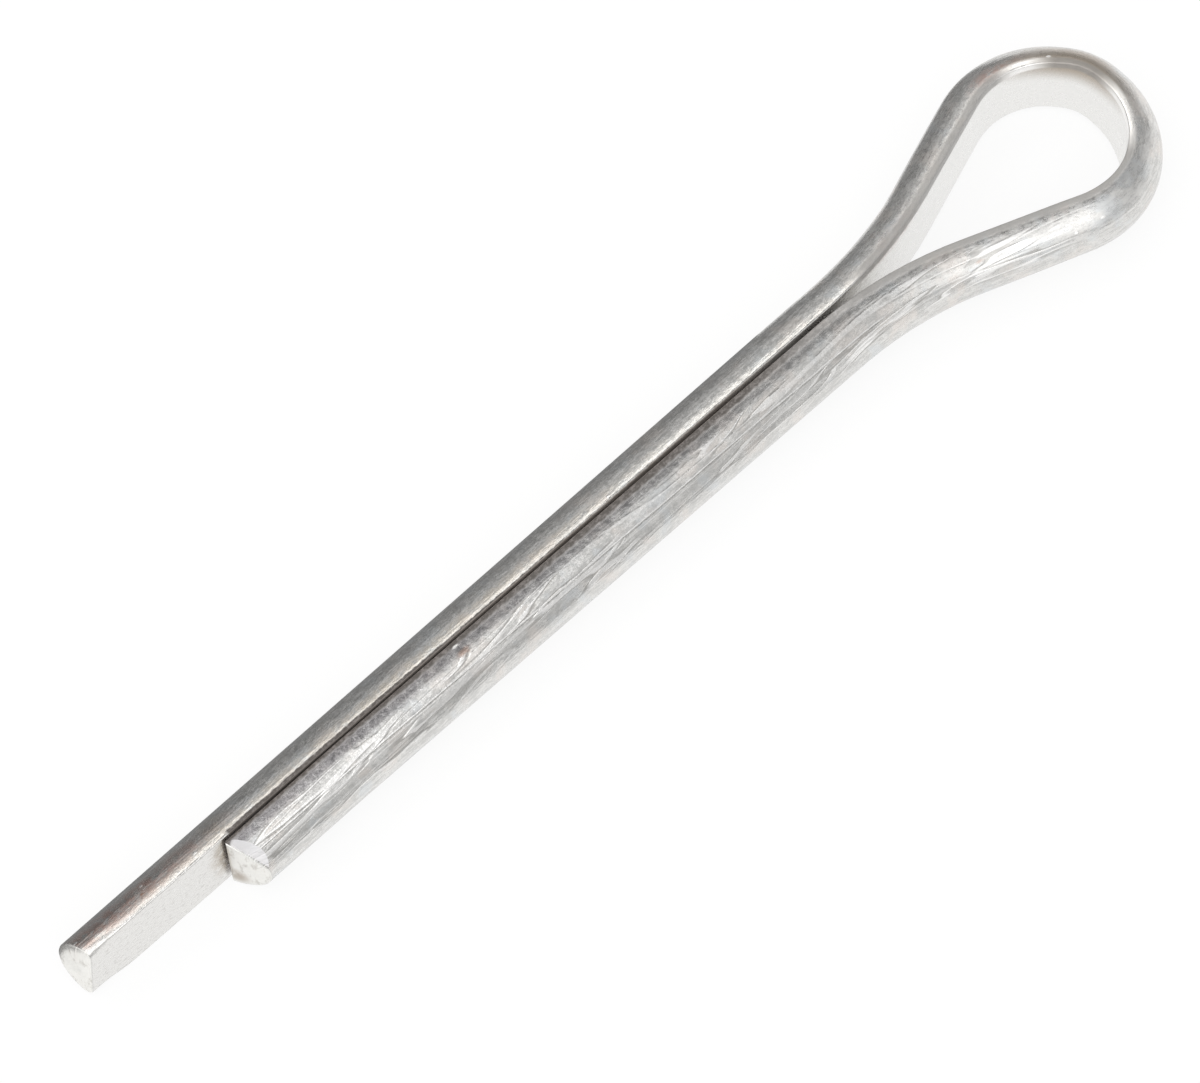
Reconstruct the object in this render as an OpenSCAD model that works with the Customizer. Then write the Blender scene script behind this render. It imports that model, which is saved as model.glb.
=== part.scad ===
// Cotter pin with an extended prong.
// One length of half-round wire is folded flat to flat: a teardrop eye at one end, and
// two legs of unequal length that lie side by side and make a round shank.
// The shank lies along X and points to +X, and the eye is at -X. The bend plane is XY,
// with the short leg on the +Y side and the long leg on the -Y side. The origin is on
// the shank's axis, at the seat, where the flare of the eye meets the rim of the hole.

/* [Wire] */
// Diameter of the round of the half-round wire, and so of the shank
wire_w = 3; // [2.4:0.05:3.3]
// How far the flat stops short of the round's edge, where a bevel takes its place
wire_edge = 0.16; // [0.08:0.01:0.3]
// How much the wire is drawn down all round where it is bent
bend_draw = 0.01; // [0.005:0.005:0.02]
// Length by which the ends of a bend are let into the straights beside it
bend_lap = 0.02; // [0.01:0.01:0.04]

/* [Shank] */
// Diameter of the hole that the pin is made for
hole_d = 3.57; // [3.4:0.01:3.9]
// Length of the short leg, from the seat to its tip
short_leg = 32.4; // [15:0.1:60]
// How far the long leg reaches past the short one
prong_extra = 6.4; // [1:0.1:15]
// Gap between the flats of the two legs, whose rounds share the shank's axis
leg_gap = 0.17; // [0.1:0.01:0.3]

/* [Sheared ends] */
// Slant of the short leg's end, which leaves its flat side the longer
short_slant = 24; // [0:1:30]
// Lean of the short leg's end, which leaves its underside the longer
short_lean = 6; // [0:1:12]
// Depth of the facet that the shears rolled over on the short leg's upper edge
short_roll = 0.3; // [0.1:0.05:0.6]
// Angle of that facet from the length of the leg
short_roll_angle = 45; // [30:5:60]
// Slant of the long leg's end, which leaves its round side the longer
long_slant = 9; // [0:1:30]

/* [Flare] */
// Angle at which the long leg's wire leaves the shank
long_flare = 18.8; // [12:0.2:28]
// Angle at which the short leg's wire leaves the shank
short_flare = 20.4; // [12:0.2:28]
// Radius of the long leg's flare, on its flat
long_flare_r = 20.6; // [12:0.2:26]
// Radius of the short leg's flare, on its flat
short_flare_r = 17; // [12:0.2:26]

/* [Crown] */
// Turn of the first crown bend, which follows the long leg's flare
first_turn = 68.5; // [40:0.5:80]
// Radius of the first crown bend, on its flat
first_r = 2.95; // [2:0.05:3.6]
// Length of the straight stretch on either side of the middle crown bend
crown_flat = 0.25; // [0.1:0.05:0.8]
// Turn of the middle crown bend
middle_turn = 41.5; // [25:0.5:65]
// Radius of the middle crown bend, on its flat
middle_r = 1.85; // [1.5:0.05:3.6]
// Radius of the last crown bend, which leads to the short leg's flare, on its flat
last_r = 3; // [2:0.05:3.6]

/* [Hidden] */
$fn = 96;

wire_r = wire_w / 2;

// The flats are straight up to the start of the flare, on the shank's side of the seat.
// From there to the seat the wire rises to the rim of the hole.
seat_rise = hole_d / 2 - wire_r;
flare_mean_r = (long_flare_r + short_flare_r) / 2;
flare_x = sqrt(2 * flare_mean_r * seat_rise);
long_leg = short_leg + prong_extra;

// The last crown bend makes whatever turn the first two leave over
last_turn = 180 + long_flare + short_flare - first_turn - middle_turn;

// Headings of the wire round the eye, from the long leg's flare to the short leg's
up_side = 180 + long_flare;
across = up_side - first_turn;
past_middle = across - middle_turn;
down_side = past_middle - last_turn;

function heading(angle) = [cos(angle), sin(angle)];

// Step from the start of a bend to its end, with a left turn positive
function bend_step(angle, turn, radius) = sign(turn) * radius
    * [sin(angle + turn) - sin(angle), cos(angle) - cos(angle + turn)];

function cross_2d(a, b) = a[0] * b[1] - a[1] * b[0];

// The eye closes where the wire comes back from one flat to the other. The bends and
// the crown's straights give most of that step, and the two sides of the eye the rest.
eye_bends = bend_step(180, long_flare, long_flare_r)
    + bend_step(up_side, -first_turn, first_r)
    + crown_flat * heading(across)
    + bend_step(across, -middle_turn, middle_r)
    + crown_flat * heading(past_middle)
    + bend_step(past_middle, -last_turn, last_r)
    + bend_step(down_side, short_flare, short_flare_r);
step_left = [0, leg_gap] - eye_bends;
sides_cross = cross_2d(heading(up_side), heading(down_side));
long_side = cross_2d(step_left, heading(down_side)) / sides_cross;
short_side = cross_2d(heading(up_side), step_left) / sides_cross;

// The eye's stretches in order: [length, 0] is straight and [radius, turn] is a bend
eye_stretches = [
    [long_flare_r, long_flare],
    [long_side, 0],
    [first_r, -first_turn],
    [crown_flat, 0],
    [middle_r, -middle_turn],
    [crown_flat, 0],
    [last_r, -last_turn],
    [short_side, 0],
    [short_flare_r, short_flare]
];

// Section of the wire, drawn down all round by the given depth: a half-round with its
// flat along the Y axis and its round towards +X, and with both of its edges taken off.
// The round's centre is half of the legs' gap behind the flat.
module wire_section(drawn) {
    flat_half = wire_r - wire_edge - drawn;
    intersection() {
        translate([-leg_gap / 2, 0]) circle(r = wire_r - drawn);
        polygon([
            [drawn, -flat_half], [drawn + wire_r, -flat_half - wire_r], [wire_w, 0],
            [drawn + wire_r, flat_half + wire_r], [drawn, flat_half]
        ]);
    }
}

// A straight stretch from the origin along +X, with its flat towards -Y
module straight(length) {
    rotate([90, 0, 90])
        linear_extrude(length) wire_section(0);
}

// A bend from the origin: a positive turn is towards the round side. Its drawn-down
// ends are let into the straights on either side of it.
module bend(radius, turn) {
    lap = bend_lap * 180 / (PI * radius);
    if (turn > 0)
        translate([0, radius, 0])
            rotate(-90 - lap)
                rotate_extrude(angle = turn + 2 * lap)
                    translate([radius, 0]) mirror([1, 0]) wire_section(bend_draw);
    else
        translate([0, -radius, 0])
            rotate(90 + turn - lap)
                rotate_extrude(angle = -turn + 2 * lap)
                    translate([radius, 0]) wire_section(bend_draw);
}

// Lays each stretch from the end of the one before it
module lay(stretches, i = 0) {
    if (i < len(stretches)) {
        size = stretches[i][0];
        turn = stretches[i][1];
        if (turn == 0) {
            straight(size);
            translate([size, 0, 0]) lay(stretches, i + 1);
        } else {
            bend(size, turn);
            translate(bend_step(0, turn, size)) rotate(turn) lay(stretches, i + 1);
        }
    }
}

// Everything past a sheared end that stands at the given length
module past_end(length, slant, lean) {
    block = 4 * wire_w;
    translate([length, 0, 0])
        rotate([0, lean, slant])
            translate([0, -block / 2, -block / 2]) cube(block);
}

// The short leg from the origin along +X, with its flat towards -Y
module short_prong(length) {
    difference() {
        straight(length + wire_w);
        past_end(length, short_slant, -short_lean);
        translate([0, 0, wire_r - short_roll])
            past_end(length, short_slant, -short_roll_angle);
    }
}

// The long leg from the origin along +X, with its flat towards +Y
module long_prong(length) {
    difference() {
        mirror([0, 1, 0]) straight(length + wire_w);
        past_end(length, long_slant, 0);
    }
}

module cotter_pin() {
    color("silver") {
        translate([flare_x, leg_gap / 2, 0]) short_prong(short_leg - flare_x);
        translate([flare_x, -leg_gap / 2, 0]) long_prong(long_leg - flare_x);
        translate([flare_x, -leg_gap / 2, 0]) rotate(180) lay(eye_stretches);
    }
}

cotter_pin();
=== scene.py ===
import math
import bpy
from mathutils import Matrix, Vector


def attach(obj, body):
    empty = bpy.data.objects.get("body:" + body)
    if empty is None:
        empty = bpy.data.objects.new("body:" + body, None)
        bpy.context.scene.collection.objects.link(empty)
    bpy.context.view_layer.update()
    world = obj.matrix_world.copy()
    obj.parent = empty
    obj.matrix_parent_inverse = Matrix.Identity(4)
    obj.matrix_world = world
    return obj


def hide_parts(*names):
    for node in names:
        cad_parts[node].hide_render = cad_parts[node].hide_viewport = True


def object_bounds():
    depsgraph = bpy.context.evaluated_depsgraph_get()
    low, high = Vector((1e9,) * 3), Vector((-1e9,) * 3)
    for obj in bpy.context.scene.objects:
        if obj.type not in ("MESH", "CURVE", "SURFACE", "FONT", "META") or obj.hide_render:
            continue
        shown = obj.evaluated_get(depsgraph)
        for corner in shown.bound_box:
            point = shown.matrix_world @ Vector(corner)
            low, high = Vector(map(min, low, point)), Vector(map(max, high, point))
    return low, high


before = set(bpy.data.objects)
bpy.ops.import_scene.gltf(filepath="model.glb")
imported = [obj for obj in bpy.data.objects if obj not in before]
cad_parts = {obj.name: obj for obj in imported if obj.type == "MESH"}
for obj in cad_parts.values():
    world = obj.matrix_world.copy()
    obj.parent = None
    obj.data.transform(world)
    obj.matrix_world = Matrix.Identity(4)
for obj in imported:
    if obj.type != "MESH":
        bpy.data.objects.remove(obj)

from types import SimpleNamespace

import bmesh
import bpy
from mathutils import Matrix, Vector

cadLow, cadHigh = [list(corner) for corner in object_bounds()]
mm = 0.001
print("frame loaded")


wire = {
    "radius": 1.5,           # of the round, mm
    "edges": (0.06, 0.34),   # radius of the flat's two edges, sharpest and softest, mm
    "holeWidth": 3.57,
    "shortLeg": 32.4,        # from the seat
    "prongExtra": 6.4,
    "seenGap": 0.02,         # dirt and plating nearly fill the gap
    "tipGap": (0.06, 5),     # the short leg's tip stands a little off, over this length
    "longFlare": (20.6, 18.8),   # radius on the flat, mm, and turn, degrees
    "shortFlare": (17.0, 21.1),
    "firstBend": (2.93, 68.5),
    "middleBend": (1.85, 41.5),
    "lastRadius": 2.99,
    "crownFlat": 0.25,
    "roundSteps": 72,
    "extraDepths": (0.03, 0.06, 0.11, 0.18),   # rows of points close to the edges, mm
    "extraHeights": (1.47, 1.44, 1.40, 1.34, 1.26, 1.15, 1.0, 0.7, 0.35),
    "snap": 0.006,           # a row that passes this close to a point uses the point
    "legPitch": 0.6,         # length of one row of faces, mm
    "bendPitch": 2.5,        # turn of one row of faces, degrees
}


def heading(angle):
    return Vector((math.cos(math.radians(angle)), math.sin(math.radians(angle))))


def bendStep(angle, turn, radius):
    a, b = math.radians(angle), math.radians(angle + turn)
    side = math.copysign(radius, turn)
    return side * Vector((math.sin(b) - math.sin(a), math.cos(a) - math.cos(b)))


def mix(a, b, k):
    return a + (b - a) * min(max(k, 0), 1)


def wireStretches():
    # the same bends as the solid's, from the tip of the long leg to the tip of the short one
    longR, longTurn = wire["longFlare"]
    shortR, shortTurn = wire["shortFlare"]
    firstR, firstTurn = wire["firstBend"]
    middleR, middleTurn = wire["middleBend"]
    lastR, flat = wire["lastRadius"], wire["crownFlat"]
    lastTurn = 180 + longTurn + shortTurn - firstTurn - middleTurn
    upSide = 180 + longTurn
    across = upSide - firstTurn
    pastMiddle = across - middleTurn
    downSide = pastMiddle - lastTurn
    bends = (bendStep(180, longTurn, longR) + bendStep(upSide, -firstTurn, firstR)
             + flat * heading(across) + bendStep(across, -middleTurn, middleR)
             + flat * heading(pastMiddle) + bendStep(pastMiddle, -lastTurn, lastR)
             + bendStep(downSide, shortTurn, shortR))
    # the two straight sides take the lengths that close the eye
    left = Vector((0, wire["seenGap"])) - bends
    a, b = heading(upSide), heading(downSide)
    cross = a.x * b.y - a.y * b.x
    longSide = (left.x * b.y - left.y * b.x) / cross
    shortSide = (a.x * left.y - a.y * left.x) / cross
    rise = wire["holeWidth"] / 2 - wire["radius"]
    flareX = math.sqrt((longR + shortR) * rise)
    longLeg = wire["shortLeg"] + wire["prongExtra"] - flareX
    shortLeg = wire["shortLeg"] - flareX
    return flareX, longLeg, shortLeg, [
        ("longLeg", longLeg, 0), ("longFlare", longR, longTurn), ("longSide", longSide, 0),
        ("first", firstR, -firstTurn), ("crown", flat, 0), ("middle", middleR, -middleTurn),
        ("crown", flat, 0), ("last", lastR, -lastTurn), ("shortSide", shortSide, 0),
        ("shortFlare", shortR, shortTurn), ("shortLeg", shortLeg, 0)]


def stretchLength(size, turn):
    return size * math.radians(abs(turn)) if turn else size


def walkWire(flareX, longLeg, stretches):
    # stretch, point, heading and distance from the long tip for each row of faces; both legs
    # run on past their tips and are cut back later
    spare = wire["radius"]
    point = Vector((flareX + longLeg + spare, -wire["seenGap"] / 2))
    angle, along = 180.0, -spare
    rows = []
    for name, size, turn in stretches:
        length = stretchLength(size, turn)
        if name in ("longLeg", "shortLeg"):
            length += spare
        steps = max(1, round(abs(turn) / wire["bendPitch"] if turn else length / wire["legPitch"]))
        for i in range(1 if rows else 0, steps + 1):
            k = i / steps
            here = bendStep(angle, turn * k, size) if turn else heading(angle) * length * k
            rows.append((name, point + here, angle + turn * k, along + length * k))
        point, angle, along = rows[-1][1:]
    return rows


shape = {
    # depth and width of the section against a true half-round
    "legTip": (1.0, 1.0),
    "legRoot": (1.10, 1.0),
    "eye": (1.0, 0.90),
    # twist of the section in degrees, which turns the flat upwards
    "longTwist": (0.0, 3.0),     # at the tip and at the flare
    "shortTwist": (-1.2, -1.5),  # at the tip and at the flare
    "eyeTwist": (5.5, -4.2),     # on the eye's long side and on its short side
    "blend": 6,                  # length in mm over which the legs' section becomes the eye's
    "wornTip": (0.2, 1.4),       # the long tip's edges are worn round: from where, and how far, mm
    "eyeRounding": 0.3,          # of the eye's upper edge, 0 for the sharpest edge and 1 for the softest
    # light marks of the forming tools: distance from the long tip and reach in mm
    "bumps": (
        {"at": 45.0, "reach": 3.5, "deeper": 0.03, "twist": 0.0, "outwards": 0.0},
        {"at": 52.5, "reach": 3.0, "deeper": -0.05, "twist": 6.0, "outwards": 0.0},
        {"at": 55.5, "reach": 1.5, "deeper": -0.07, "twist": -2.5, "outwards": 0.15},
        {"at": 61.0, "reach": 4.5, "deeper": 0.04, "twist": 1.4, "outwards": 0.0},
    ),
}


def legSection(name, far, full):
    # depth, width, twist, rounding of the lower and the upper edge, share of the stand-off that
    # the twist asks for, and opening, all at a distance from the leg's own tip
    k = max(far, 0) / full
    depth, width = (mix(tip, root, k) for tip, root in zip(shape["legTip"], shape["legRoot"]))
    if name == "longLeg":
        start, reach = shape["wornTip"]
        worn = mix(1, 0, (far - start) / reach)
        return depth, width, mix(*shape["longTwist"], k), (worn, worn), 1, 0
    gap, length = wire["tipGap"]
    return depth, width, mix(*shape["shortTwist"], k), (0, 0), 1, gap * mix(1, 0, far / length)


def eyeSection(k, eyeLength):
    # the same for the eye, at a share of its length
    near = min(k, 1 - k) * eyeLength / shape["blend"]
    depth, width = (mix(root, eye, near) for root, eye in zip(shape["legRoot"], shape["eye"]))
    legTwist = shape["longTwist" if k < 0.5 else "shortTwist"][1]
    twist = mix(legTwist, mix(*shape["eyeTwist"], k), near)
    return depth, width, twist, (0, shape["eyeRounding"] * min(near, 1)), mix(1, 0, near), 0


def placement(point, angle, depth, width, twist):
    ahead, out = heading(angle), heading(angle + 90)
    c, s = math.cos(math.radians(twist)), math.sin(math.radians(twist))
    u = Vector((out.x * c, out.y * c, -s))
    v = Vector((out.x * s, out.y * s, c))
    return Matrix(((ahead.x, u.x * depth, v.x * width, point.x),
                   (ahead.y, u.y * depth, v.y * width, point.y),
                   (0, u.z * depth, v.z * width, 0),
                   (0, 0, 0, 1)))


def wireRows():
    # placement of the section, distance from the long tip and rounding of its edges, row by row
    flareX, longLeg, shortLeg, stretches = wireStretches()
    eyeLength = sum(stretchLength(size, turn) for name, size, turn in stretches[1:-1])
    rows = []
    for name, point, angle, along in walkWire(flareX, longLeg, stretches):
        if name == "longLeg":
            section = legSection(name, along, longLeg)
        elif name == "shortLeg":
            section = legSection(name, longLeg + eyeLength + shortLeg - along, shortLeg)
        else:
            section = eyeSection((along - longLeg) / eyeLength, eyeLength)
        depth, width, twist, rounding, apart, opening = section
        # turned legs stand apart, so that their lower edges don't meet
        shift = apart * (wire["radius"] * math.sin(math.radians(abs(twist)))) + opening
        for bump in shape["bumps"]:
            k = math.exp(-((along - bump["at"]) / bump["reach"]) ** 2)
            depth += bump["deeper"] * k
            twist += bump["twist"] * k
            shift += bump["outwards"] * k
        place = point + heading(angle + 90) * shift
        rows.append((placement(place, angle, depth, width, twist), along, rounding))
    return rows


def sectionRing(bm):
    # a circle cut down to its round half, with more points near its two edges
    bmesh.ops.create_circle(bm, cap_ends=True, segments=wire["roundSteps"], radius=wire["radius"],
                            matrix=Matrix.Rotation(math.radians(90), 4, "Y"))
    bmesh.ops.bisect_plane(bm, geom=bm.verts[:] + bm.edges[:] + bm.faces[:], dist=1e-5,
                           plane_co=(0, 0, 0), plane_no=(0, 1, 0), clear_inner=True)
    cuts = [((0, depth, 0), (0, 1, 0)) for depth in wire["extraDepths"]]
    cuts += [((0, 0, side * height), (0, 0, 1)) for height in wire["extraHeights"] for side in (-1, 1)]
    for point, normal in cuts:
        bmesh.ops.bisect_plane(bm, geom=bm.verts[:] + bm.edges[:] + bm.faces[:], dist=wire["snap"],
                               plane_co=point, plane_no=normal)
    bmesh.ops.dissolve_edges(bm, edges=[e for e in bm.edges if len(e.link_faces) == 2], use_verts=False)


def rounded(point, edge):
    # moves a point of the sharp section onto its rounded edge
    middle = Vector((0, edge, math.sqrt((wire["radius"] - edge) ** 2 - edge ** 2)))
    high = abs(point.z)
    if high <= middle.z or math.atan2(high, point.y) <= math.atan2(middle.z, middle.y):
        return point.copy()
    middle.z = math.copysign(middle.z, point.z)
    return middle + (point - middle).normalized() * edge


def sweepWire():
    bm = bmesh.new()
    sectionRing(bm)
    sharp, soft = ([rounded(v.co, edge) for v in bm.verts] for edge in wire["edges"])
    place = bm.verts.layers.float_vector.new("wirePlace")
    spot = bm.verts.layers.int.new("ringSpot")
    for i, v in enumerate(bm.verts):
        v[place], v[spot] = v.co, i
    verts, ring = bm.verts[:], bm.edges[:]
    for row, (matrix, along, rounding) in enumerate(wireRows()):
        if row:
            new = bmesh.ops.extrude_edge_only(bm, edges=ring)["geom"]
            verts = [g for g in new if isinstance(g, bmesh.types.BMVert)]
            fresh = set(verts)
            ring = [g for g in new if isinstance(g, bmesh.types.BMEdge) and fresh.issuperset(g.verts)]
        for v in verts:
            v.co = matrix @ sharp[v[spot]].lerp(soft[v[spot]], rounding[v[place].z > 0])
            v[place] = (along, v[place].y, v[place].z)
    bmesh.ops.contextual_create(bm, geom=ring)
    bmesh.ops.recalc_face_normals(bm, faces=bm.faces[:])
    bm.verts.layers.int.remove(spot)
    return bm


ends = {
    # slant and lean of the cut in degrees, its shift along the leg in mm, and the corner that
    # the shear rolled over: depth at the gap, slant and rise
    "short": {"slant": 24, "lean": -1, "shift": 0.18, "roll": (0.06, 46, 34)},
    "long": {"slant": 8, "lean": -6, "shift": 0.0, "roll": None},
    "dome": ((0.98, 0.05), (0.93, 0.04), (0.80, 0.03), (0.5, 0.02)),   # size of each ring, step outwards, mm
    "onLegs": 6,             # only legs lie past this x, mm
    "halfway": 50,           # and only the short one this far from the long tip, mm
    "sharpest": 40,          # a turn past this many degrees stays a sharp edge
    "marks": {"rolled": 0.25, "rim": 0.5, "torn": 1.0},   # what the faces of a cut end are marked with
}


def legCut(bm, point, normal, onShort):
    # cuts off everything past a plane, on one leg alone, and closes it
    place = bm.verts.layers.float_vector["wirePlace"]

    def ours(face):
        shortHalf = face.verts[0][place].x > ends["halfway"]
        return face.calc_center_median().x > ends["onLegs"] and shortHalf == onShort
    faces = [f for f in bm.faces if ours(f)]
    edges = list({e for f in faces for e in f.edges})
    verts = list({v for f in faces for v in f.verts})
    cut = bmesh.ops.bisect_plane(bm, geom=verts + edges + faces, dist=1e-5, plane_co=point,
                                 plane_no=normal, clear_outer=True)["geom_cut"]
    rim = [g for g in cut if isinstance(g, bmesh.types.BMEdge) and g.is_valid]
    return bmesh.ops.contextual_create(bm, geom=rim)["faces"]


def tilted(slant, lean):
    turn = Matrix.Rotation(math.radians(slant), 3, "Z") @ Matrix.Rotation(math.radians(lean), 3, "Y")
    return turn @ Vector((1, 0, 0))


def domeEnd(bm, cap, normal):
    # a sheared end is slightly proud in the middle
    cutEnd, marks = bm.faces.layers.float["cutEnd"], ends["marks"]
    for number, (size, step) in enumerate(ends["dome"]):
        centre = cap[0].calc_center_median_weighted()
        new = bmesh.ops.extrude_face_region(bm, geom=cap)["geom"]
        bmesh.ops.delete(bm, geom=cap, context="FACES_ONLY")
        verts = [g for g in new if isinstance(g, bmesh.types.BMVert)]
        cap = [g for g in new if isinstance(g, bmesh.types.BMFace)]
        for face in {f for v in verts for f in v.link_faces}:
            face[cutEnd] = marks["torn" if number else "rim"]
        bmesh.ops.scale(bm, vec=(size, size, size), space=Matrix.Translation(-centre), verts=verts)
        bmesh.ops.translate(bm, vec=normal * step, verts=verts)
    for face in cap:
        face[cutEnd] = marks["torn"]
    bmesh.ops.poke(bm, faces=cap, offset=0.0, center_mode="MEAN_WEIGHTED")


def finishEnds(bm):
    cutEnd = bm.faces.layers.float.new("cutEnd")
    flareX, longLeg, shortLeg, stretches = wireStretches()
    gap = wire["seenGap"] / 2
    for name, length, y in (("short", shortLeg, gap), ("long", longLeg, -gap)):
        end = ends[name]
        tipX = flareX + length + end["shift"]
        if end["roll"]:
            down, slant, rise = end["roll"]
            top = Vector((tipX, y, wire["radius"] - down))
            for face in legCut(bm, top, tilted(slant, -rise), name == "short"):
                face[cutEnd] = ends["marks"]["rolled"]
        normal = tilted(end["slant"], end["lean"])
        cap = legCut(bm, Vector((tipX, y, 0)), normal, name == "short")
        domeEnd(bm, cap, normal)
    bmesh.ops.recalc_face_normals(bm, faces=bm.faces[:])


def markSharp(bm):
    # a rolled corner keeps its border sharp all round
    cutEnd = bm.faces.layers.float["cutEnd"]
    for edge in bm.edges:
        marks = {face[cutEnd] for face in edge.link_faces}
        border = ends["marks"]["rolled"] in marks and len(marks) > 1
        edge.smooth = edge.calc_face_angle(0) < math.radians(ends["sharpest"]) and not border


def buildWire():
    bm = sweepWire()
    finishEnds(bm)
    bmesh.ops.triangulate(bm, faces=[f for f in bm.faces if len(f.verts) > 4])
    bmesh.ops.scale(bm, vec=(mm, mm, mm), verts=bm.verts[:])
    for face in bm.faces:
        face.smooth = True
    markSharp(bm)
    mesh = bpy.data.meshes.new("cotterPinWire")
    bm.to_mesh(mesh)
    bm.free()
    pin = bpy.data.objects.new("cotterPinWire", mesh)
    bpy.context.scene.collection.objects.link(pin)
    return pin


pin = buildWire()
print("wire bent:", len(pin.data.polygons), "faces")


zinc = {
    "light": (0.80, 0.79, 0.77),
    "dark": (0.61, 0.605, 0.59),
    "warm": (0.82, 0.765, 0.72),
    "cool": (0.72, 0.745, 0.76),
    "flat": (0.80, 0.79, 0.77),
    "eyeFlat": (0.88, 0.875, 0.86),
    "speck": (0.665, 0.65, 0.63),
    "lip": (0.95, 0.94, 0.925),
    "groove": (0.46, 0.45, 0.43),
    # painted shade for the eye's upper edge, in place of its highlight
    "edgeShade": (0.42, 0.41, 0.40),
    "cut": (0.90, 0.89, 0.855),
    "torn": (0.66, 0.64, 0.60),
    "rolled": (0.80, 0.79, 0.80),
    "tarnish": (0.54, 0.41, 0.37),
    "beige": (0.52, 0.465, 0.395),
    "shade": (0.43, 0.375, 0.315),
    "rust": (0.42, 0.24, 0.16),
    "besideGapTone": (0.39, 0.375, 0.385),
    # the gap's colours below stand for dirt and painted shade together: dark beside the gap, lighter deep
    # inside it
    "soil": (0.090, 0.078, 0.070),     # dirt at the tips
    "dust": (0.090, 0.080, 0.072),     # and near the eye
    "grit": (0.22, 0.20, 0.19),
    "packedSoil": (0.17, 0.15, 0.135),     # inside the gap
    "packedDust": (0.29, 0.26, 0.235),
    "roughness": (0.17, 0.31),
    "bump": 0.000012,        # height of the grain, m
    "cordSlope": -0.035,     # slant of the drawing lines to the wire, radians
    "scratchSlope": -0.11,
}

# where the looks lie on the wire
zones = {
    # distances from the long tip in mm: start, end and fade of a stretch
    "eye": (41.0, 64.0, 3.0),
    # where the eye's upper edge gets painted shade and more roughness
    "shadedEdgeSpan": (38.5, 66.5, 1.5),
    # two spots of that edge left bright and painted as highlights
    "highlightSpots": ((48.7, 49.0, 1.1), (52.8, 53.8, 1.4)),
    "dustyGap": (22.0, 84.0, 12.0),
    # and where something sets in or ends: nothing at the first distance, full at the second
    "shortHalf": (52.0, 56.0),
    "scratches": (57.0, 60.0),
    "besideGapTone": (66.0, 70.0),
    "calmTip": (96.6, 98.0),
    "longDirtAndShade": ((6.4, 6.6), (36.5, 30.0)),
    "shortDirtAndShade": (63.5, 73.0),
    "openTips": ((9.0, 7.5), (96.3, 97.5)),
    # the same across the section, in mm: depth below the flat, height, or way round from the back
    "flat": (0.06, 0.01),
    "edgeDepth": (0.40, 0.22),
    "edgeHeight": (1.10, 1.25),
    "openTipHeight": (1.38, 1.0),
    "besideGapToneDepth": (0.72, 0.35),
    "longDirtAndShadeDepth": (0.15, 0.10),
    "shortDirtAndShadeDepth": (0.215, 0.075),
    "packedDepth": (0.025, 0.01),
    "scratchBand": (0.55, 1.70, 0.22),   # start, end and fade
    # a border that wanders: its shift in mm at a first and at a second distance
    "longDirtAndShadeShift": (12.0, 24.0, 0.03, -0.10),
    "shortDirtAndShadeShift": (96.0, 78.0, 0.0, -0.13),
    # the long line on the short leg: its ends, its way round at them, and its width
    "drawnLine": (66.0, 98.6, 1.06, 1.31, 0.030),
    # patches: distance from the long tip, depth and height on the section,
    # reach along and across, all in mm, and strength
    "patches": {
        "tarnish": {
            "longProng": (2.4, 0.60, 1.36, 6.0, 0.66, 1.0),
            "longProngTip": (0.9, 0.9, 1.2, 1.8, 0.6, 0.5),
            "eyeShoulder": (48.0, 0.42, 1.3, 1.8, 0.5, 0.95),
            "eyeTop": (51.0, 0.7, 1.2, 2.2, 0.4, 0.3),
            "crotch": (40.0, 0.1, 1.3, 2.5, 0.5, 0.4),
        },
        "beige": {
            # painted shade on the long leg's flat beside the short leg's end
            "contactShade": (6.35, 0.0, 0.3, 1.05, 1.9, 1.0),
            "nearGap": (15.5, 0.3, 1.45, 17.0, 0.30, 0.60),
        },
        "shade": {
            "crownFlat": (50.7, 0.0, 1.6, 3.4, 1.45, 1.0),
        },
        "rust": {
            "shortLeg": (86.85, 0.53, 1.403, 0.42, 0.19, 0.6),
            "shortSide": (62.0, 0.95, 1.1, 0.28, 0.12, 0.45),
            "longProng": (2.9, 0.45, 1.4, 0.14, 0.14, 0.8),
        },
    },
    "chip": (86.95, 0.22, 1.484, 0.20, 0.085, 1.0),    # bare and bright, above the rust on the short leg
    "smudge": (32.3, 0.35, -0.75, 0.9, 0.70, 0.9),     # on the end of the short leg, by x, y and z
}


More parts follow.
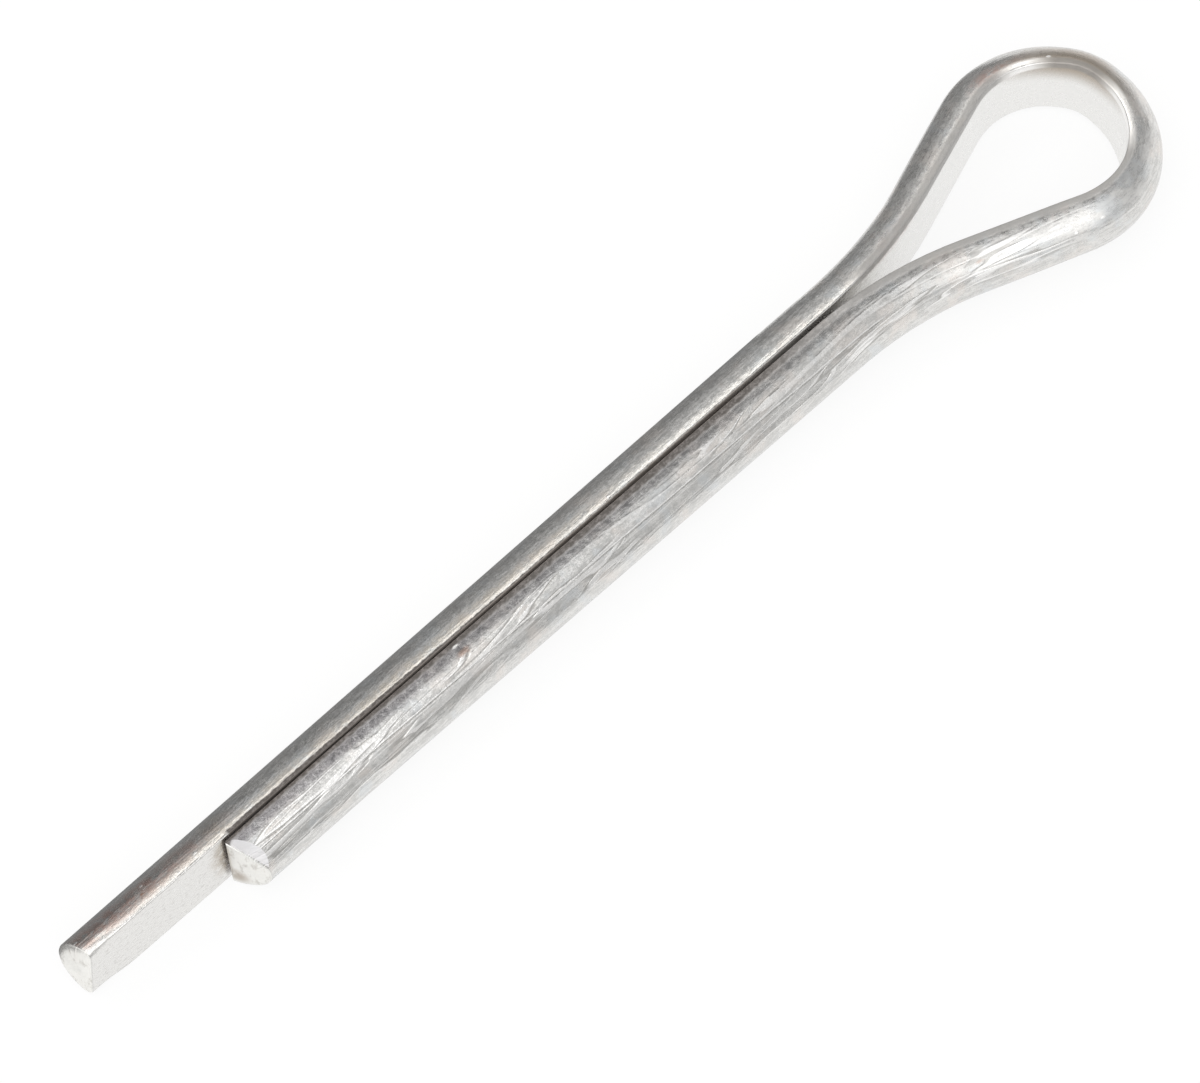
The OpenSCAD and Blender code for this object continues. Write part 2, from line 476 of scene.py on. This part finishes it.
class Finish:
    # a small helper that adds and joins shader nodes
    def __init__(self, name):
        self.material = bpy.data.materials.new(name)
        self.material.use_nodes = True
        self.nodes, self.links = self.material.node_tree.nodes, self.material.node_tree.links
        self.shader = self.nodes["Principled BSDF"]

    def join(self, source, socket):
        if isinstance(source, (int, float, tuple)):
            socket.default_value = source
        else:
            self.links.new(source, socket)

    def math(self, kind, a, b=0.0, clamp=False):
        node = self.nodes.new("ShaderNodeMath")
        node.operation, node.use_clamp = kind, clamp
        self.join(a, node.inputs[0])
        self.join(b, node.inputs[1])
        return node.outputs[0]

    def chain(self, kind, values):
        out = values[0]
        for value in values[1:]:
            out = self.math(kind, out, value)
        return out

    def plus(self, *values):
        return self.chain("ADD", values)

    def times(self, *values):
        return self.chain("MULTIPLY", values)

    def most(self, *values):
        return self.chain("MAXIMUM", values)

    def less(self, a, b, clamp=False):
        return self.math("SUBTRACT", a, b, clamp)

    def outside(self, mask):
        return self.less(1.0, mask)

    def noise(self, vector, scale, detail=3.0, roughness=0.55):
        node = self.nodes.new("ShaderNodeTexNoise")
        self.join(vector, node.inputs["Vector"])
        node.inputs["Scale"].default_value = scale
        node.inputs["Detail"].default_value = detail
        node.inputs["Roughness"].default_value = roughness
        return node.outputs["Fac"]

    def stretched(self, vector, scale, slope=0.0, shift=(0, 0, 0)):
        # longer by scale along its axes, after a turn by the slope
        node = self.nodes.new("ShaderNodeMapping")
        node.vector_type = "TEXTURE"
        self.join(vector, node.inputs["Vector"])
        node.inputs["Scale"].default_value = scale
        node.inputs["Rotation"].default_value = (0, 0, slope)
        node.inputs["Location"].default_value = shift
        return node.outputs["Vector"]

    def band(self, value, low, high):
        # from 0 at low to 1 at high, with soft ends
        node = self.nodes.new("ShaderNodeMapRange")
        node.interpolation_type = "SMOOTHSTEP"
        self.join(value, node.inputs["Value"])
        node.inputs["From Min"].default_value = low
        node.inputs["From Max"].default_value = high
        return node.outputs["Result"]

    def within(self, value, low, high, fade):
        # 1 between low and high, 0 outside them
        return self.times(self.band(value, low - fade, low), self.band(value, high + fade, high))

    def span(self, value, low, high, first, last):
        # straight from first at low to last at high
        node = self.nodes.new("ShaderNodeMapRange")
        self.join(value, node.inputs["Value"])
        for key, number in (("From Min", low), ("From Max", high), ("To Min", first), ("To Max", last)):
            node.inputs[key].default_value = number
        return node.outputs["Result"]

    def specks(self, vector, scale, size):
        # 1 inside sparse round specks, 0 outside
        node = self.nodes.new("ShaderNodeTexVoronoi")
        self.join(vector, node.inputs["Vector"])
        node.inputs["Scale"].default_value = scale
        return self.band(node.outputs["Distance"], size, size * 0.45)

    def ridge(self, value, width):
        # thin lines where a noise crosses its middle, and the raised lip along one side of them
        off = self.less(value, 0.5)
        line = self.band(self.math("ABSOLUTE", off), width, width * 0.15)
        lip = self.within(off, width * 1.2, width * 2.0, width * 0.8)
        return line, lip

    def groove(self, along, arc, start, end, first, last, width):
        # one long line between two distances along the wire, from one place round it to another
        off = self.less(arc, self.span(along, start, end, first, last))
        line = self.band(self.math("ABSOLUTE", off), width, width * 0.3)
        lip = self.within(off, width, width * 2.2, width * 0.6)
        length = self.within(along, start + 1, end - 1, 1.0)
        return self.times(line, length), self.times(lip, length)

    def vectorMath(self, kind, a, b=None):
        node = self.nodes.new("ShaderNodeVectorMath")
        node.operation = kind
        self.join(a, node.inputs[0])
        if b:
            self.join(b, node.inputs[1])
        return node.outputs["Value" if kind == "LENGTH" else "Vector"]

    def patch(self, vector, along, depth, height, reachAlong, reachAcross, strength):
        # 1 at a place on the wire, falling to 0 at its reach
        away = self.vectorMath("SUBTRACT", vector, (along, depth, height))
        share = self.vectorMath("DIVIDE", away, (reachAlong, reachAcross, reachAcross))
        return self.times(self.band(self.vectorMath("LENGTH", share), 1.0, 0.25), strength)

    def mix(self, fac, a, b):
        node = self.nodes.new("ShaderNodeMix")
        node.data_type = "RGBA"
        self.join(fac, node.inputs[0])
        self.join((*a, 1) if isinstance(a, tuple) else a, node.inputs[6])
        self.join((*b, 1) if isinstance(b, tuple) else b, node.inputs[7])
        return node.outputs[2]

    def painted(self, colour, *layers):
        # lays the zinc's colours over each other, each where its mask is 1
        for mask, name in layers:
            colour = self.mix(mask, colour, zinc[name])
        return colour


def wirePlaces(f):
    # what the patterns follow: the place on the wire, and the place on the part, in mm
    onWire = f.nodes.new("ShaderNodeAttribute")
    onWire.attribute_name = "wirePlace"
    cutEnd = f.nodes.new("ShaderNodeAttribute")
    cutEnd.attribute_name = "cutEnd"
    onPart = f.nodes.new("ShaderNodeTexCoord")
    split = f.nodes.new("ShaderNodeSeparateXYZ")
    f.join(onWire.outputs["Vector"], split.inputs[0])
    along, depth, height = split.outputs
    # the skin rolled flat: along the wire, round its section, and height for the flat
    arc = f.times(f.math("ARCTAN2", height, depth), wire["radius"])
    skin = f.nodes.new("ShaderNodeCombineXYZ")
    for source, socket in zip((along, arc, height), skin.inputs):
        f.join(source, socket)
    return SimpleNamespace(wire=onWire.outputs["Vector"], along=along, depth=depth, height=height,
                           arc=arc, skin=skin.outputs[0], cut=cutEnd.outputs["Fac"],
                           part=f.stretched(onPart.outputs["Object"], (mm, mm, mm)))


def wireAreas(f, at):
    # masks, 1 inside an area and 0 outside it
    edge = f.times(f.band(at.depth, *zones["edgeDepth"]),
                   f.band(at.height, *zones["edgeHeight"]))
    # painted highlights: two spots of the eye's upper edge in the bright lip colour
    paintedHighlight = f.times(edge, f.plus(*(f.within(at.along, *spot) for spot in zones["highlightSpots"])))
    # painted shade on the eye's upper edge, which is also rougher there
    shadedEdge = f.less(f.times(edge, f.within(at.along, *zones["shadedEdgeSpan"])), paintedHighlight, True)
    marks = (ends["marks"][name] for name in ("rim", "rolled"))
    rim, rolled = (f.within(at.cut, mark - 0.05, mark + 0.05, 0.05) for mark in marks)
    return SimpleNamespace(paintedHighlight=paintedHighlight, shadedEdge=shadedEdge, rim=rim, rolled=rolled,
                           torn=f.band(at.cut, 0.6, 0.9),
                           longHalf=f.outside(f.band(at.along, *zones["shortHalf"])),
                           eye=f.within(at.along, *zones["eye"]))


def zincGrain(f, at):
    # noises for the grain, mottling, streaks and cords of drawn wire
    slope = zinc["cordSlope"]
    grain = f.noise(f.stretched(at.skin, (1.9, 1, 1), slope), 7.5, 3, 0.62)
    fine = f.noise(at.wire, 19.0, 2, 0.5)
    mottle = f.noise(at.wire, 2.1, 5, 0.62)
    return SimpleNamespace(
        grain=grain, fine=fine, mottle=mottle,
        streak=f.noise(f.stretched(at.skin, (9, 1, 1), slope), 3.4, 4, 0.62),
        cords=f.noise(f.stretched(at.skin, (30, 1, 1), slope * 0.4), 5.2, 3, 0.6),
        hue=f.noise(at.wire, 0.75, 3, 0.6),
        speckle=f.noise(f.stretched(at.wire, (1.6, 1, 1)), 7.5, 3, 0.7),
        torn=f.noise(f.stretched(at.part, (1, 1, 2.2)), 2.6, 4, 0.65),
        sand=f.plus(f.times(grain, 0.55), f.times(fine, 0.45)),
        cloud=f.plus(f.times(mottle, 0.6), f.times(grain, 0.4)))


def zincScratches(f, at, area, noise):
    # drawing lines and slanted scratches with raised lips, one long line, and bright nicks
    long, longLip = f.ridge(f.noise(f.stretched(at.skin, (26, 1, 1), zinc["cordSlope"]), 1.5, 1, 0.4), 0.022)
    tilt = f.stretched(at.skin, (8, 1, 1), zinc["scratchSlope"], (3, 5, 0))
    slanted, slantedLip = f.ridge(f.noise(tilt, 2.2, 1, 0.4), 0.045)
    sparse = f.band(f.noise(f.stretched(at.skin, (3, 1, 1)), 0.55, 2, 0.5), 0.36, 0.50)
    wander = f.plus(at.arc, f.times(f.less(noise.streak, 0.5), 0.10))
    drawn, drawnLip = f.groove(at.along, wander, *zones["drawnLine"])
    worked = f.times(f.within(at.arc, *zones["scratchBand"]), f.band(at.along, *zones["scratches"]))
    line = f.most(f.times(f.most(f.times(long, 0.4), f.times(slanted, sparse)), worked), drawn)
    lip = f.most(f.times(f.most(f.times(longLip, 0.45), f.times(slantedLip, sparse)), worked), drawnLip)
    nicks = f.specks(f.stretched(at.wire, (1.4, 1, 1), 0, (3.1, 7.7, 1.3)), 0.95, 0.075)
    return SimpleNamespace(line=line, lip=lip, nicks=f.times(nicks, f.outside(area.torn)))


def gapDirtAndShade(f, at, area, noise):
    # dirt in the gap together with painted shade where the legs meet, dark enough to hide the highlight on
    # the edges beside the gap, and its thinner edge on the short leg, with a ragged border
    ragged = f.plus(at.depth, f.times(f.less(noise.grain, 0.5), 0.12))
    nearer = f.less(ragged, f.span(at.along, *zones["longDirtAndShadeShift"]))
    onLong = f.times(*(f.band(at.along, *onset) for onset in zones["longDirtAndShade"]),
                     f.band(nearer, *zones["longDirtAndShadeDepth"]))
    farther = f.plus(ragged, f.span(at.along, *zones["shortDirtAndShadeShift"]))
    onShort = f.times(f.band(at.along, *zones["shortDirtAndShade"]),
                      f.band(farther, *zones["shortDirtAndShadeDepth"]))
    tips = f.most(*(f.band(at.along, *onset) for onset in zones["openTips"]))
    clear = f.most(area.torn, f.times(tips, f.band(at.height, *zones["openTipHeight"])))
    return f.times(f.most(onLong, onShort), f.outside(clear))


# colour of the gap's dirt and painted shade
def dirtAndShadeColour(f, at, noise):
    dusty = f.within(at.along, *zones["dustyGap"])
    loose = f.mix(dusty, zinc["soil"], zinc["dust"])
    loose = f.painted(loose, (f.times(f.band(noise.sand, 0.46, 0.60), 0.8), "grit"))
    packed = f.mix(dusty, zinc["packedSoil"], zinc["packedDust"])
    return f.mix(f.band(at.depth, *zones["packedDepth"]), loose, packed)


def plateColour(f, at, area, noise):
    # the clean zinc, on the round and on the flat
    tone = f.plus(f.times(noise.mottle, 0.20), f.times(noise.streak, 0.30), f.times(noise.grain, 0.30),
                  f.times(noise.fine, 0.20))
    onRound = f.painted(
        f.mix(f.band(tone, 0.43, 0.57), zinc["dark"], zinc["light"]),
        (f.times(f.band(noise.hue, 0.52, 0.66), 0.55), "warm"),
        (f.times(f.band(noise.hue, 0.46, 0.34), 0.55), "cool"),
        (f.times(f.band(noise.sand, 0.50, 0.40), area.longHalf, 0.40), "groove"),
        (f.times(f.band(noise.sand, 0.53, 0.63), area.longHalf, 0.40), "lip"))
    speckle = f.plus(f.times(noise.speckle, 0.75), f.times(noise.mottle, 0.25))
    onFlat = f.painted(f.mix(f.band(speckle, 0.50, 0.36), zinc["flat"], zinc["speck"]),
                       (f.times(area.eye, 0.75), "eyeFlat"))
    return f.mix(f.band(at.depth, *zones["flat"]), onRound, onFlat)


def darkerBesideGap(f, at, noise):
    # a darker band beside the gap, heavier towards the tip of the short leg
    besideGapTone = f.times(f.band(at.depth, *zones["besideGapToneDepth"]), f.span(at.along, 70.0, 92.0, 0.30, 0.85),
                   f.band(at.along, *zones["besideGapTone"]))
    return f.times(besideGapTone, f.span(noise.mottle, 0.35, 0.65, 1.15, 0.75))


def patchLayers(f, at, noise):
    # tarnish and beige are cloudy, rust is grainy and a shade is plain
    cloudy, grainy = f.band(noise.cloud, 0.36, 0.58), f.band(noise.grain, 0.35, 0.55)
    texture = {"tarnish": (cloudy,), "beige": (cloudy,), "shade": (), "rust": (grainy,)}
    return [(f.times(f.patch(at.wire, *patch), *texture[name]), name)
            for name, group in zones["patches"].items() for patch in group.values()]


def zincFinish():
    f = Finish("zincPlate")
    at = wirePlaces(f)
    area = wireAreas(f, at)
    noise = zincGrain(f, at)
    marks = zincScratches(f, at, area, noise)
    dirtAndShade = gapDirtAndShade(f, at, area, noise)
    bare = f.outside(f.patch(at.wire, *zones["chip"]))

    # colour
    cutColour = f.mix(f.band(noise.torn, 0.50, 0.36), zinc["cut"], zinc["torn"])
    colour = f.painted(
        plateColour(f, at, area, noise),
        (darkerBesideGap(f, at, noise), "besideGapTone"), (f.times(marks.line, 0.7), "groove"), (marks.lip, "lip"),
        *patchLayers(f, at, noise), (f.times(area.shadedEdge, 0.7), "edgeShade"), (area.paintedHighlight, "lip"))
    colour = f.mix(f.times(area.torn, 0.9), colour, cutColour)
    # the rim ring of each cut end is darkened as a line of painted shade
    colour = f.painted(
        colour, (f.times(area.rolled, 0.8), "rolled"), (f.times(area.rim, 0.5), "dark"),
        (f.times(f.patch(at.part, *zones["smudge"]), f.band(noise.torn, 0.36, 0.52), area.torn), "shade"),
        (f.times(marks.nicks, 0.85), "lip"))
    # dirt and painted shade in the gap
    colour = f.mix(dirtAndShade, colour, dirtAndShadeColour(f, at, noise))
    f.join(f.mix(bare, zinc["lip"], colour), f.shader.inputs["Base Color"])
    f.join(f.outside(f.times(dirtAndShade, bare, 0.9)), f.shader.inputs["Metallic"])

    # roughness
    rough = f.plus(f.span(noise.cloud, 0.35, 0.65, *zinc["roughness"]), f.times(dirtAndShade, 0.3),
                   f.times(f.most(area.torn, area.rolled), 0.12), f.times(area.eye, 0.05),
                   f.times(area.shadedEdge, 0.30))
    f.join(rough, f.shader.inputs["Roughness"])

    # height of the grain, calmer in the eye and at the short tip
    height = f.less(f.plus(noise.grain, f.times(noise.cords, 1.3), f.times(noise.fine, 0.15),
                           f.times(marks.lip, 0.5), f.times(marks.nicks, 0.8)), f.times(marks.line, 0.9))
    tip = f.band(at.along, *zones["calmTip"])
    calm = f.most(f.times(area.eye, 0.4), f.times(f.most(area.rolled, tip), 0.75))
    bump = f.nodes.new("ShaderNodeBump")
    bump.inputs["Distance"].default_value = zinc["bump"]
    f.join(f.outside(calm), bump.inputs["Strength"])
    f.join(height, bump.inputs["Height"])
    f.join(bump.outputs["Normal"], f.shader.inputs["Normal"])
    return f.material


pin.data.materials.append(zincFinish())
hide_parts("cotter_pin")
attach(pin, "root")
print("finish made")


studio = {
    "floorSize": 1.6,
    "floorColour": (0.94, 0.94, 0.935),
    "floorGlow": 0.85,       # share of the paper that shows as plain white, the rest keeps the shadow
    "worldFill": 0.85,
    "softboxAway": 0.36,     # from the shank, m
    "cardAway": 0.33,
    "boardLift": 0.0001,     # boards lie just over the paper
}


def addNode(nodes, links, kind, *sources):
    # a new node with its inputs joined in order, or set where a plain value is given
    node = nodes.new(kind)
    for source, socket in zip(sources, node.inputs):
        if isinstance(source, (float, tuple)):
            socket.default_value = source
        else:
            links.new(source, socket)
    return node


def combined(nodes, links, operation, a, b):
    node = addNode(nodes, links, "ShaderNodeMath", a, b)
    node.operation = operation
    return node.outputs[0]


def seenDirectly(nodes, links):
    # 1 for what the eye, a reflection or a glass sees, 0 for light on the object
    path = nodes.new("ShaderNodeLightPath").outputs
    seen = combined(nodes, links, "MAXIMUM", path["Is Camera Ray"], path["Is Glossy Ray"])
    return combined(nodes, links, "MAXIMUM", seen, path["Is Transmission Ray"])


def emptyTree(owner):
    owner.use_nodes = True
    nodes, links = owner.node_tree.nodes, owner.node_tree.links
    nodes.clear()
    return nodes, links


def makeFloor(level):
    bm = bmesh.new()
    bmesh.ops.create_grid(bm, x_segments=1, y_segments=1, size=studio["floorSize"] / 2)
    bmesh.ops.translate(bm, vec=(0, 0, level), verts=bm.verts[:])
    mesh = bpy.data.meshes.new("floor")
    bm.to_mesh(mesh)
    bm.free()
    floor = bpy.data.objects.new("floor", mesh)
    bpy.context.scene.collection.objects.link(floor)
    material = bpy.data.materials.new("floorPaper")
    nodes, links = emptyTree(material)
    share = combined(nodes, links, "MULTIPLY", seenDirectly(nodes, links), studio["floorGlow"])
    paper = addNode(nodes, links, "ShaderNodeBsdfDiffuse", (*studio["floorColour"], 1))
    white = addNode(nodes, links, "ShaderNodeEmission", (1, 1, 1, 1), 1.0)
    pick = addNode(nodes, links, "ShaderNodeMixShader", share, paper.outputs[0], white.outputs[0])
    addNode(nodes, links, "ShaderNodeOutputMaterial", pick.outputs[0])
    mesh.materials.append(material)


def makeWorld():
    world = bpy.data.worlds.new("studio")
    bpy.context.scene.world = world
    nodes, links = emptyTree(world)
    fill = addNode(nodes, links, "ShaderNodeBackground", (1, 1, 1, 1), studio["worldFill"])
    white = addNode(nodes, links, "ShaderNodeBackground", (1, 1, 1, 1), 1.0)
    seen = seenDirectly(nodes, links)
    pick = addNode(nodes, links, "ShaderNodeMixShader", seen, fill.outputs[0], white.outputs[0])
    addNode(nodes, links, "ShaderNodeOutputWorld", pick.outputs[0])
    world.cycles.sampling_method = "NONE"   # the cards hide it from reflections


# bearings and spreads are degrees round the shank, from the short leg's side, and x is in metres
softboxes = {
    "key": {"bearing": 62, "spread": 76, "x": (-0.05, 0.90), "radiance": 0.72, "colour": (1, 1, 1)},
    "rear": {"bearing": 120, "spread": 22, "x": (-0.45, 0.45), "radiance": 0.72, "colour": (1, 0.955, 0.88)},
}
# cards darken a reflection: 1 is as bright as the white round them
cards = {
    "overhead": {"bearing": 92, "spread": 36, "x": (-0.15, -0.042), "level": 0.23},
    "overheadEnd": {"bearing": 92, "spread": 36, "x": (-0.45, -0.15), "level": 0.42},
    "overheadEye": {"bearing": 105, "spread": 10, "x": (-0.042, 0.45), "level": 0.44},
    "frontEdge": {"bearing": 70.5, "spread": 7, "x": (-0.165, -0.045), "level": 0.90},
    "front": {"bearing": 50, "spread": 34, "x": (-0.165, -0.045), "level": 0.76},
    "rearHigh": {"bearing": 144, "spread": 28, "x": (-0.45, 0.45), "level": 0.60},
    "rearMiddle": {"bearing": 165, "spread": 18, "x": (-0.45, -0.06), "level": 0.43},
    "rearEye": {"bearing": 168, "spread": 24, "x": (-0.06, 0.45), "level": 0.18},
    "rearLow": {"bearing": 179, "spread": 12, "x": (-0.45, -0.06), "level": 0.26},
    "frontLow": {"bearing": 15.5, "spread": 36, "x": (-0.45, 0.0), "level": 0.66},
    "frontLine": {"bearing": 5, "spread": 7, "x": (0.0, 0.30), "level": 0.55},
    "frontEnd": {"bearing": 51.5, "spread": 52, "x": (-0.50, -0.165), "level": 0.48},
}
# boards by their level and four corners, in metres: on the floor at each side, as painted shadow of the
# object on the floor that only reflections see, and behind the eye
boards = {
    "floorShadeFront": (0.55, ((0.0015, 0.0055, 0), (0.06, 0.0055, 0), (0.06, 0.05, 0), (-0.006, 0.05, 0))),
    "floorShadeRear": (0.27, ((0.004, -0.0021, 0), (0.05, -0.0021, 0), (0.05, -0.33, 0), (0.004, -0.33, 0))),
    "floorShadeEye": (0.30, ((-0.0098, -0.0062, 0), (0.004, -0.0040, 0), (0.004, -0.33, 0), (-0.292, -0.33, 0))),
    "behindEye": (0.50, ((-0.46, 0.13, 0), (-0.46, -0.33, 0), (-0.40, -0.33, 0.5), (-0.40, 0.13, 0.5))),
}


def roundShank(panel, away):
    # place and turn of a panel that faces the shank, and its length and width
    angle, x = math.radians(panel["bearing"]), panel["x"]
    middle = sum(x) / 2
    place = Vector((middle, away * math.cos(angle), away * math.sin(angle)))
    turn = (-place + Vector((middle, 0, 0))).to_track_quat("-Z", "Y")
    return place, turn, x[1] - x[0], 2 * away * math.tan(math.radians(panel["spread"] / 2))


def makeSoftboxes():
    for name, box in softboxes.items():
        place, turn, length, width = roundShank(box, studio["softboxAway"])
        lamp = bpy.data.lights.new(name + "Softbox", "AREA")
        lamp.shape = "RECTANGLE"
        lamp.size, lamp.size_y = length, width
        lamp.energy = box["radiance"] * math.pi * length * width
        lamp.color = box["colour"]
        holder = bpy.data.objects.new(name + "Softbox", lamp)
        holder.location, holder.rotation_euler = place, turn.to_euler()
        holder.visible_camera = False
        bpy.context.scene.collection.objects.link(holder)


def makeCard(name, corners, level):
    # a plain card that only reflections see
    mesh = bpy.data.meshes.new(name)
    bm = bmesh.new()
    bm.faces.new([bm.verts.new(corner) for corner in corners])
    bm.to_mesh(mesh)
    bm.free()
    card = bpy.data.objects.new(name, mesh)
    bpy.context.scene.collection.objects.link(card)
    material = bpy.data.materials.new(name)
    nodes, links = emptyTree(material)
    glow = addNode(nodes, links, "ShaderNodeEmission", (1, 1, 1, 1), level)
    addNode(nodes, links, "ShaderNodeOutputMaterial", glow.outputs[0])
    mesh.materials.append(material)
    card.visible_camera = False
    card.visible_diffuse = False
    card.visible_shadow = False


def makeCards(floorLevel):
    for name, card in cards.items():
        place, turn, length, width = roundShank(card, studio["cardAway"])
        corners = [place + turn.to_matrix() @ Vector((x * length / 2, y * width / 2, 0))
                   for x, y in ((-1, -1), (1, -1), (1, 1), (-1, 1))]
        makeCard(name + "Card", corners, card["level"])
    for name, (level, corners) in boards.items():
        lift = Vector((0, 0, floorLevel + studio["boardLift"]))
        makeCard(name + "Board", [Vector(corner) + lift for corner in corners], level)


floorLevel = min(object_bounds()[0][2], cadLow[2])
makeFloor(floorLevel)
makeWorld()
makeSoftboxes()
makeCards(floorLevel)
print("studio lit")


cameraSet = {
    "place": (0.07872, 0.07350, 0.17944),
    "elevation": 1.074,      # radians, as the azimuth and the roll
    "azimuth": 0.853,
    "roll": -0.062,
    "lens": 172.0,
    "sensor": 36,
    "nearest": 0.01,
}


def makeCamera():
    el, az, roll = cameraSet["elevation"], cameraSet["azimuth"], cameraSet["roll"]
    back = Vector((math.cos(el) * math.cos(az), math.cos(el) * math.sin(az), math.sin(el)))
    right = Vector((0, 0, 1)).cross(back).normalized()
    up = back.cross(right)
    c, s = math.cos(roll), math.sin(roll)
    right, up = c * right + s * up, -s * right + c * up
    matrix = Matrix((right, up, back)).transposed().to_4x4()
    matrix.translation = Vector(cameraSet["place"])
    data = bpy.data.cameras.new("camera")
    data.lens = cameraSet["lens"]
    data.sensor_width = cameraSet["sensor"]
    data.sensor_fit = "HORIZONTAL"
    data.clip_start = cameraSet["nearest"]
    camera = bpy.data.objects.new("camera", data)
    camera.matrix_world = matrix
    bpy.context.scene.collection.objects.link(camera)
    bpy.context.scene.camera = camera


makeCamera()
bpy.context.scene.view_settings.view_transform = "Standard"
print("camera set")
